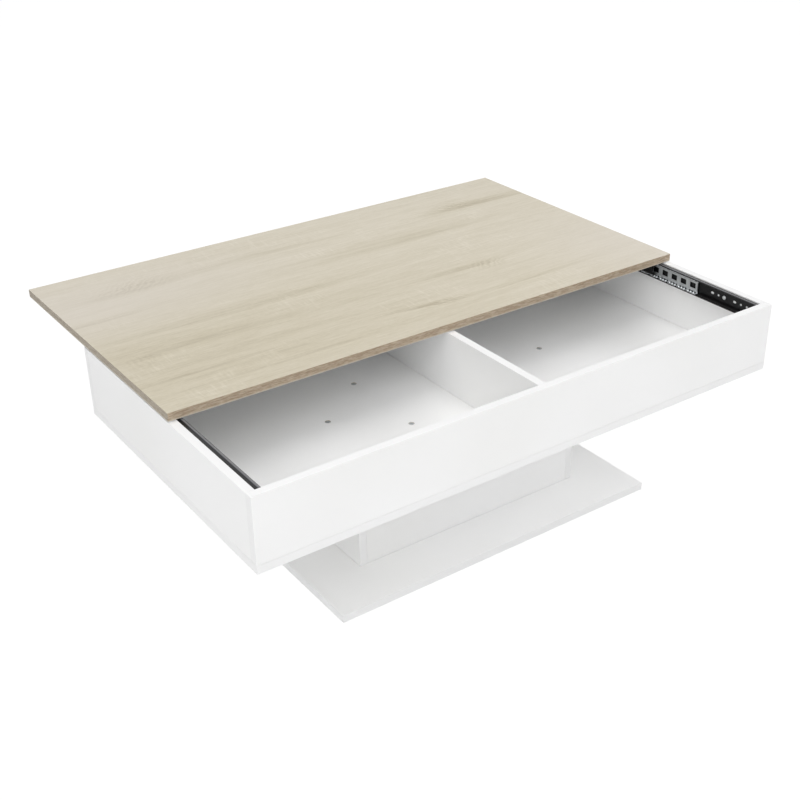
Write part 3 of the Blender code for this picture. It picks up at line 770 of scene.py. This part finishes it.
def window_into(bm, place):
    """Add a punch for one window, with its four corners rounded."""
    tool = bmesh.new()
    block_into(tool, place, (4 * CAGE_STEEL, *WINDOW))
    corners = [edge for edge in tool.edges if abs((edge.verts[0].co - edge.verts[1].co).x) > CAGE_STEEL]
    bmesh.ops.bevel(tool, geom=corners, offset=WINDOW_CORNER, segments=CORNER_STEPS, profile=0.5,
                    affect="EDGES", material=-1)
    held = bpy.data.meshes.new("window")
    tool.to_mesh(held)
    tool.free()
    bm.from_mesh(held)
    bpy.data.meshes.remove(held)


for word, side in SIDES.items():
    node = f"{word}_ball_cage"
    low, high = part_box(node)
    wall = inner_face(word, side)
    level = (low.z + high.z) / 2
    rows = (level - BALL_PLACE[1], level + BALL_PLACE[1])
    bm = bmesh.new()
    point = bm.verts.new((CAGE_EDGE, 0.0, BALL_PLACE[1]))
    point = line_to(bm, point, CAGE_WEB + CAGE_BEND, BALL_PLACE[1])
    point = bend_round(bm, point, (CAGE_WEB + CAGE_BEND, BALL_PLACE[1] - CAGE_BEND), 90, BEND_STEPS)
    line_to(bm, point, CAGE_WEB, 0.0)
    roll_out(bm, side, wall, low.y, level, high.y - low.y)
    cage = finished(bm, f"zinc_{node}", [zinc_plate], f"{word}_cage", "zinc_steel", node)
    give_thickness(cage, CAGE_STEEL)
    tabs = bmesh.new()
    for end in (low.y, high.y - CAGE_STEEL):
        tab_into(tabs, (wall - side * CAGE_WEB, end, level - END_TAB[1] / 2),
                 (wall - side * (CAGE_WEB + END_TAB[0]), end + CAGE_STEEL, level + END_TAB[1] / 2))
    cut(cage, tabs, "UNION")
    punches = bmesh.new()
    balls = bmesh.new()
    for number in range(WINDOWS):
        middle = low.y + CAGE_END + WINDOW[0] / 2 + number * WINDOW_PITCH
        window_into(punches, (wall - side * CAGE_WEB, middle, level))
        for row in rows:
            if number:
                bridge = middle - WINDOW_PITCH / 2
                edge = wall - side * CAGE_EDGE
                tab_into(punches, (edge - NOTCH[0], bridge - NOTCH[1] / 2, row - CAGE_STEEL),
                         (edge + NOTCH[0], bridge + NOTCH[1] / 2, row + CAGE_STEEL))
            inwards = CAGE_STEEL / 2 + POCKET[3] if row < level else -CAGE_STEEL / 2 - POCKET[3]
            for step in BALL_STEPS:
                place = (wall - side * BALL_PLACE[0], middle + step, row)
                tab_into(punches, (wall - side * POCKET[0], middle + step - POCKET[2] / 2, row + inwards),
                         (wall - side * POCKET[1], middle + step + POCKET[2] / 2, row - inwards))
                bmesh.ops.create_uvsphere(balls, u_segments=BALL_FACETS[0], v_segments=BALL_FACETS[1],
                                          radius=BALL / 2, matrix=Matrix.Translation(place))
    cut(cage, punches)
    smooth_rounds(cage)
    count = WINDOWS * len(rows) * len(BALL_STEPS)
    set_of_balls = finished(balls, f"steel_{word}_balls", [ball_steel], f"{word}_cage", "zinc_steel")
    set_of_balls.data.shade_smooth()
    print(cage.name, len(cage.data.polygons), "faces and", count, "balls")

# %% [markdown]
# Three kinds of screw hold the table. Connector screws, with a flat head and a six sided socket,
# join the boards. Pan head screws with a cross hold the slides. Countersunk ones with a cross hold
# the battens to the top. Each kind is turned like on a lathe: half its outline is drawn and spun,
# and its recess is cut. Two wedges make a cross, one after the other, because a single tool that
# crosses itself would confuse the cut.

# %% Screw shapes
TURNED_STEPS = 32
THREAD_SHARE = 0.9
PAN_HEAD_HEIGHT = 1.6 * MM
SOCKET = (4.0 * MM, 2.5 * MM)
CROSS_REACH = 2.0 * MM
CROSS_WIDTH = 0.8 * MM
CROSS_NARROWS = 0.45
PAN_CROSS_DEPTH = 0.9 * MM
FLAT_CROSS_DEPTH = 1.2 * MM


def turned(outline):
    """Spin an outline of (radius, height) points round the Z axis into a closed body."""
    bm = bmesh.new()
    point = bm.verts.new((outline[0][0], 0.0, outline[0][1]))
    for radius, height in outline[1:]:
        point = line_to(bm, point, radius, height)
    bmesh.ops.spin(bm, geom=bm.verts[:] + bm.edges[:], cent=(0.0, 0.0, 0.0), axis=(0.0, 0.0, 1.0),
                   angle=2 * pi, steps=TURNED_STEPS, use_merge=True)
    bmesh.ops.remove_doubles(bm, verts=bm.verts[:], dist=WELD)
    bmesh.ops.recalc_face_normals(bm, faces=bm.faces[:])
    return bm


def thread(start, end, start_radius, end_radius, pitch, depth):
    """Outline of a screw thread as rings that follow a taper."""
    turns = int((start - end) / pitch)
    points = []
    for number in range(turns):
        height = start - number * pitch
        radius = start_radius + (end_radius - start_radius) * number / turns
        root = radius - depth
        points += [(root, height), (radius, height - pitch / 2), (root, height - THREAD_SHARE * pitch)]
    return points


def socket_tool(width, depth):
    """Six sided punch for a socket, its width taken across the flats."""
    bm = bmesh.new()
    radius = width / 3 ** 0.5
    bmesh.ops.create_cone(bm, cap_ends=True, segments=6, radius1=radius, radius2=radius, depth=2 * depth)
    return bm


def wedge_tool(quarter, top, depth):
    """One bar of a cross recess, a wedge that narrows downwards."""
    bm = bmesh.new()
    bmesh.ops.create_cube(bm, size=1.0)
    for vert in bm.verts:
        narrow = CROSS_NARROWS if vert.co.z < 0 else 1.0
        vert.co = (2 * CROSS_REACH * narrow * vert.co.x, CROSS_WIDTH * vert.co.y, top + depth * 2 * vert.co.z)
    bmesh.ops.rotate(bm, verts=bm.verts[:], matrix=Matrix.Rotation(quarter * pi / 2, 3, "Z"))
    return bm


def cross_tools(top, depth):
    """The two bars that make a cross recess."""
    return [wedge_tool(quarter, top, depth) for quarter in (0, 1)]


def pan_outline():
    """Pan head with its seat at height 0: a low dome over a tapered shank."""
    dome = [(4.2 * MM, 0.0), (4.2 * MM, 0.45 * MM), (3.9 * MM, 0.95 * MM), (3.2 * MM, 1.35 * MM),
            (2.2 * MM, 1.55 * MM), (0.0, PAN_HEAD_HEIGHT)]
    shank = thread(-0.6 * MM, -12 * MM, 1.75 * MM, 0.6 * MM, 1.3 * MM, 0.35 * MM)
    return [(0.0, -12.5 * MM)] + shank[::-1] + [(1.6 * MM, 0.0)] + dome


def connector_outline():
    """Flat head at height 0 over a cone, a plain neck and a coarse thread."""
    head = [(3.5 * MM, -3.5 * MM), (4.9 * MM, -0.6 * MM), (4.9 * MM, -0.25 * MM), (4.7 * MM, 0.0), (0.0, 0.0)]
    shank = thread(-15 * MM, -48 * MM, 3.2 * MM, 2.5 * MM, 3.0 * MM, 0.6 * MM)
    return [(0.0, -50 * MM)] + shank[::-1] + [(2.6 * MM, -14 * MM), (3.3 * MM, -13 * MM)] + head


def countersunk_outline():
    """Flat countersunk head at height 0 over a threaded shank."""
    head = [(1.6 * MM, -2.4 * MM), (3.9 * MM, -0.2 * MM), (3.9 * MM, 0.0), (0.0, 0.0)]
    shank = thread(-4 * MM, -36 * MM, 1.9 * MM, 1.6 * MM, 2.0 * MM, 0.45 * MM)
    return [(0.0, -38 * MM)] + shank[::-1] + head


SCREW_KINDS = {
    "connector": (connector_outline(), [socket_tool(*SOCKET)]),
    "pan": (pan_outline(), cross_tools(PAN_HEAD_HEIGHT, PAN_CROSS_DEPTH)),
    "countersunk": (countersunk_outline(), cross_tools(0.0, FLAT_CROSS_DEPTH)),
}
screw_meshes = {}
for kind, (outline, recesses) in SCREW_KINDS.items():
    sample = finished(turned(outline), f"{kind}_sample", [zinc_plate], "carcass", "zinc_steel")
    for recess in recesses:
        cut(sample, recess)
    smooth_rounds(sample)
    screw_meshes[kind] = sample.data
    bpy.data.objects.remove(sample)
    print(kind, "screw", len(screw_meshes[kind].polygons), "faces")

# %% [markdown]
# One mesh of each kind serves for all its screws. It could be shared, but a piece keeps its place in
# its mesh, so each screw gets a copy, moved to its CAD node with its head facing out. Each is turned
# a little further than the one before, because no one drives two screws to the same angle.

# %% Screws in place
UP = Vector((0.0, 0.0, 1.0))
ACROSS = Vector((1.0, 0.0, 0.0))
QUIRK = radians(37)
PLINTH_SCREWS = range(1, 7)
WALL_SCREWS = range(1, 9)
SLIDE_SCREWS = range(1, 4)


def set_screw(node, kind, axis, body):
    """Set one screw in its CAD node's place, with its head facing along an axis."""
    low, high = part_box(node)
    head = Vector([high[i] if axis[i] > 0.5 else low[i] if axis[i] < -0.5 else (low[i] + high[i]) / 2
                   for i in range(3)])
    if kind == "pan":
        head -= axis * PAN_HEAD_HEIGHT
    number = int(node[-1])
    mesh = screw_meshes[kind].copy()
    face_out = UP.rotation_difference(axis).to_matrix().to_4x4()
    mesh.transform(Matrix.Translation(head) @ face_out @ Matrix.Rotation(number * QUIRK, 4, "Z"))
    piece = bpy.data.objects.new(f"zinc_{node}", mesh)
    mesh.name = piece.name
    scene.collection.objects.link(piece)
    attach(piece, body)
    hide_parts(node)


for number in PLINTH_SCREWS:
    set_screw(f"base_screw_{number}", "connector", -UP, "carcass")
    set_screw(f"plinth_screw_{number}", "connector", UP, "carcass")
for number in WALL_SCREWS:
    set_screw(f"wall_screw_{number}", "connector", -UP, "carcass")
for word, side in SIDES.items():
    for number in SLIDE_SCREWS:
        set_screw(f"{word}_slide_screw_{number}", "pan", -side * ACROSS, "carcass")
    for number in TOP_SCREWS:
        set_screw(f"{word}_inner_screw_{number}", "pan", side * ACROSS, "sliding_top")
        set_screw(f"{word}_batten_screw_{number}", "countersunk", -UP, "sliding_top")
screws = [piece for piece in scene.objects if "_screw_" in piece.name and piece.name.startswith("zinc_")]
print(len(screws), "screws set")

# %% [markdown]
# Screw heads sit in bores, so the boards that show a head are drilled. A bore could be painted on,
# but a real one throws its own thin ring of shadow. The tools are turned cylinders a hair wider
# than the heads, and their walls take the third finish of the board, its chipboard core.

# %% Bores
BORE_GAP = 0.2 * MM
CONNECTOR_BORE = (5.0 * MM, 4.5 * MM)
BATTEN_BORE = (4.0 * MM, 9.0 * MM)
BORE_LEAD = 2.0 * MM
BORE_STEPS = 48
CORE = 2


def drill(board, nodes, axis, radius, depth):
    """Drill a board from outside at every named screw, down to a depth under the board's face."""
    low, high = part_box(board)
    face = high.z if axis > 0 else low.z
    drills = bmesh.new()
    for node in nodes:
        screw_low, screw_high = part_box(node)
        middle = (screw_low + screw_high) / 2
        middle.z = face + axis * (BORE_LEAD - depth) / 2
        bmesh.ops.create_cone(drills, cap_ends=True, segments=BORE_STEPS, radius1=radius + BORE_GAP,
                              radius2=radius + BORE_GAP, depth=depth + BORE_LEAD,
                              matrix=Matrix.Translation(middle))
    for drill_face in drills.faces:
        drill_face.material_index = CORE
    cut(boards[board], drills)
    print(board, "drilled for", len(nodes), "screws")


drill("bottom_panel", [f"plinth_screw_{n}" for n in PLINTH_SCREWS], 1, *CONNECTOR_BORE)
drill("bottom_panel", [f"wall_screw_{n}" for n in WALL_SCREWS], -1, *CONNECTOR_BORE)
drill("base_board", [f"base_screw_{n}" for n in PLINTH_SCREWS], -1, *CONNECTOR_BORE)
for word in SIDES:
    drill(f"{word}_batten", [f"{word}_batten_screw_{n}" for n in TOP_SCREWS], -1, *BATTEN_BORE)

# %% [markdown]
# Dowels sit inside the corners of the box, where only an opened joint would show them. Their CAD
# shapes are right as they are, so they only get their finish: beech, pale and even, with short
# dark flecks along the grain.

# %% Beech dowels
FLECK = (0.5, 4.0, 0.5)

beech, tree, shader, place = new_finish("beech, turned")
fleck = patches(tree, place, FLECK, 2.0)
tone = add_node(tree, "ShaderNodeValToRGB", {"Fac": fleck}, tones=((0.0, "#A97F52"), (1.0, "#D9B78B")))
feed(tree, shader, {"Base Color": tone.outputs["Color"], "Roughness": 0.6})
for number in range(1, 5):
    dowel = frame["nodes"][f"corner_dowel_{number}"]
    dowel.data.materials.clear()
    dowel.data.materials.append(beech)
print("made", beech.name)

# %% [markdown]
# The table stands in a white studio. A weak white sky fills its shadows from all sides. The floor is
# plain and pale: to the camera and in reflections it shows white with only a breath of the table's
# shadow, and to all other light it is an ordinary pale floor that sends light back up. The Light
# Path node tells the two apart, so the white room costs the table no extra light.

# %% Studio
SKY_LIGHT = 0.105
FLOOR_SHOWS = 0.06
FLOOR_GLOW = 1.055
FLOOR_SIZE = 12.0
FLOOR_DROP = 0.2 * MM


def seen_directly(tree):
    """A socket that is 1 for light seen by the camera, in a reflection or through a clear piece."""
    path = add_node(tree, "ShaderNodeLightPath")
    seen = path.outputs["Is Camera Ray"]
    for ray in ("Is Glossy Ray", "Is Transmission Ray"):
        seen = add_node(tree, "ShaderNodeMath", {0: seen, 1: path.outputs[ray]},
                        operation="MAXIMUM").outputs["Value"]
    return seen


world = bpy.data.worlds.new("studio")
world.use_nodes = True
scene.world = world
tree = world.node_tree
tree.nodes.clear()
lit = add_node(tree, "ShaderNodeBackground", {"Color": linear("#FFFFFF"), "Strength": SKY_LIGHT})
white = add_node(tree, "ShaderNodeBackground", {"Color": linear("#FFFFFF"), "Strength": 1.0})
sky = add_node(tree, "ShaderNodeMixShader", {0: seen_directly(tree), 1: lit.outputs["Background"],
                                             2: white.outputs["Background"]})
add_node(tree, "ShaderNodeOutputWorld", {"Surface": sky.outputs["Shader"]})

floor_finish, tree, shader, _ = new_finish("pale studio floor")
feed(tree, shader, {"Base Color": linear("#EDEDED"), "Roughness": 0.9})
share = add_node(tree, "ShaderNodeMath", {0: seen_directly(tree), 1: 1.0 - FLOOR_SHOWS}, operation="MULTIPLY")
glow = add_node(tree, "ShaderNodeEmission", {"Color": linear("#FFFFFF"), "Strength": FLOOR_GLOW})
both = add_node(tree, "ShaderNodeMixShader", {0: share.outputs["Value"], 1: shader.outputs["BSDF"],
                                              2: glow.outputs["Emission"]})
tree.links.new(both.outputs["Shader"], tree.nodes["Material Output"].inputs["Surface"])

bm = bmesh.new()
bmesh.ops.create_grid(bm, x_segments=1, y_segments=1, size=FLOOR_SIZE,
                      matrix=Matrix.Translation((0.0, 0.0, -FLOOR_DROP)))
floor_mesh = bpy.data.meshes.new("studio_floor")
bm.to_mesh(floor_mesh)
bm.free()
floor_mesh.materials.append(floor_finish)
floor = bpy.data.objects.new("studio_floor", floor_mesh)
scene.collection.objects.link(floor)
print("floor", 2 * FLOOR_SIZE, "m wide")

# %% [markdown]
# Seven softboxes give the light its direction, as a photographer sets them: one high in front and
# one overhead that do most of the work, a weak one low in front for the plinth, one in front to the
# left that reaches in under the top, one at each side, and a faint one behind. Each is a large area
# lamp turned to the table, and their levels are set so that white boards stay just under white.

# %% Softboxes
AIM = Vector((0.0, 0.1, 0.3))
SOFTBOXES = {
    "front_high": ((-0.6, -2.6, 3.0), 2.6, 44.5),
    "front_low": ((0.2, -3.2, 1.2), 2.0, 18.5),
    "front_left": ((-2.9, -1.3, 1.6), 2.0, 25.0),
    "left": ((-3.2, 0.0, 1.6), 2.0, 20.0),
    "right": ((3.2, -0.2, 1.3), 2.0, 45.0),
    "overhead": ((0.0, 0.2, 3.5), 2.6, 49.5),
    "back": ((1.4, 3.6, 1.2), 2.4, 4.2),
}

for name, (place, size, watts) in SOFTBOXES.items():
    lamp_data = bpy.data.lights.new(f"softbox {name}", "AREA")
    lamp_data.size = size
    lamp_data.energy = watts
    lamp = bpy.data.objects.new(f"softbox {name}", lamp_data)
    lamp.location = place
    lamp.rotation_euler = (AIM - Vector(place)).to_track_quat("-Z", "Y").to_euler()
    scene.collection.objects.link(lamp)
scene.view_settings.view_transform = "Standard"
print("softboxes:", ", ".join(SOFTBOXES))
